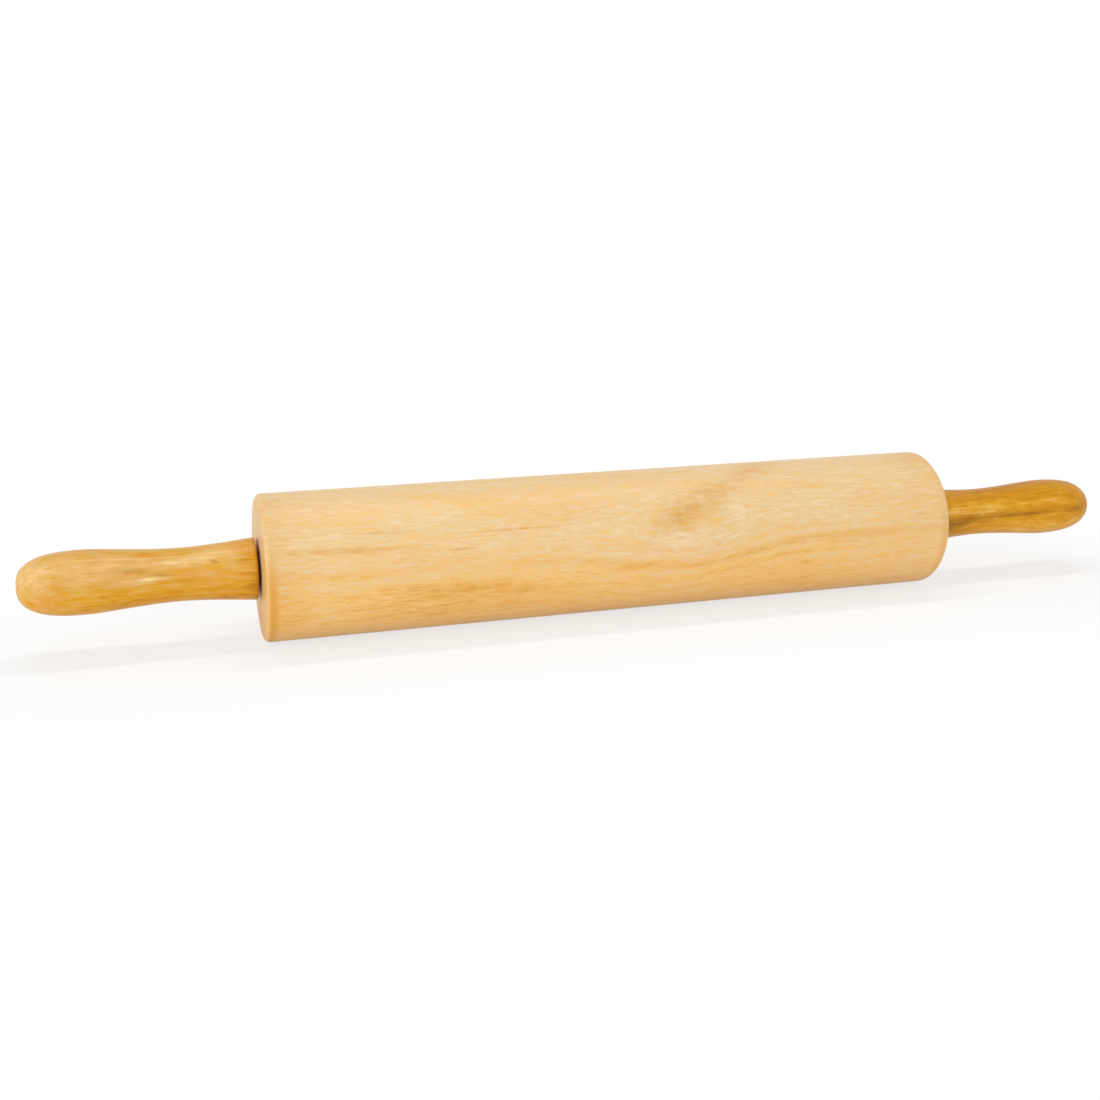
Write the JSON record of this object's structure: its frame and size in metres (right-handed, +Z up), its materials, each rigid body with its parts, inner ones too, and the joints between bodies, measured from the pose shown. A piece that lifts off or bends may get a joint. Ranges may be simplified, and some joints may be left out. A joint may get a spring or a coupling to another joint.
{
  "type": "rolling pin",
  "caption": "Wooden rolling pin whose straight barrel turns on ball bearings round a steel rod between two contoured, lacquered wooden handles.",
  "frame": {"origin": "on the worktop under the middle of the barrel, where the barrel's lowest line touches it", "axes": "+X along the rod towards the right handle, +Z up from the worktop, +Y away from the viewer"},
  "size_m": [0.614, 0.0762, 0.0762],
  "materials": {
    "barrel_wood": "fine-sanded pale hardwood, oiled",
    "handle_wood": "golden-brown gloss lacquer",
    "rod_steel": "drawn",
    "insert_brass": "turned",
    "spacer_nylon": "moulded, dark brown",
    "spring_steel": "phosphated, oiled",
    "race_steel": "ground",
    "ball_steel": "polished",
    "cage_nylon": "moulded",
    "seal_rubber": "moulded rubber, dark brown"
  },
  "bodies": {
    "handles_and_rod": {"rod": "rod_steel", "left_handle": "handle_wood", "left_threaded_insert": "insert_brass", "left_spacer": "spacer_nylon", "left_snap_ring": "spring_steel", "left_bearing_inner_race": "race_steel", "right_handle": "handle_wood", "right_threaded_insert": "insert_brass", "right_spacer": "spacer_nylon", "right_snap_ring": "spring_steel", "right_bearing_inner_race": "race_steel"},
    "barrel": {"barrel": "barrel_wood", "left_bearing_outer_race": "race_steel", "left_bearing_outboard_seal": "seal_rubber", "left_bearing_inboard_seal": "seal_rubber", "right_bearing_outer_race": "race_steel", "right_bearing_outboard_seal": "seal_rubber", "right_bearing_inboard_seal": "seal_rubber"},
    "left_ball_cage": {"left_bearing_cage": "cage_nylon", "left_bearing_balls": "ball_steel"},
    "right_ball_cage": {"right_bearing_cage": "cage_nylon", "right_bearing_balls": "ball_steel"}
  },
  "joints": [
    {"name": "barrel_spin", "type": "hinge", "parent": "handles_and_rod", "child": "barrel", "pos_m": [0, 0, 0.0381], "axis": [1, 0, 0], "continuous": true},
    {"name": "left_cage_spin", "type": "hinge", "parent": "handles_and_rod", "child": "left_ball_cage", "pos_m": [-0.1865, 0, 0.0381], "axis": [1, 0, 0], "continuous": true},
    {"name": "right_cage_spin", "type": "hinge", "parent": "handles_and_rod", "child": "right_ball_cage", "pos_m": [0.1865, 0, 0.0381], "axis": [1, 0, 0], "continuous": true}
  ],
  "couplings": [
    {"joint": "left_cage_spin", "follows": "barrel_spin", "ratio": 0.6329},
    {"joint": "right_cage_spin", "follows": "barrel_spin", "ratio": 0.6329}
  ]
}
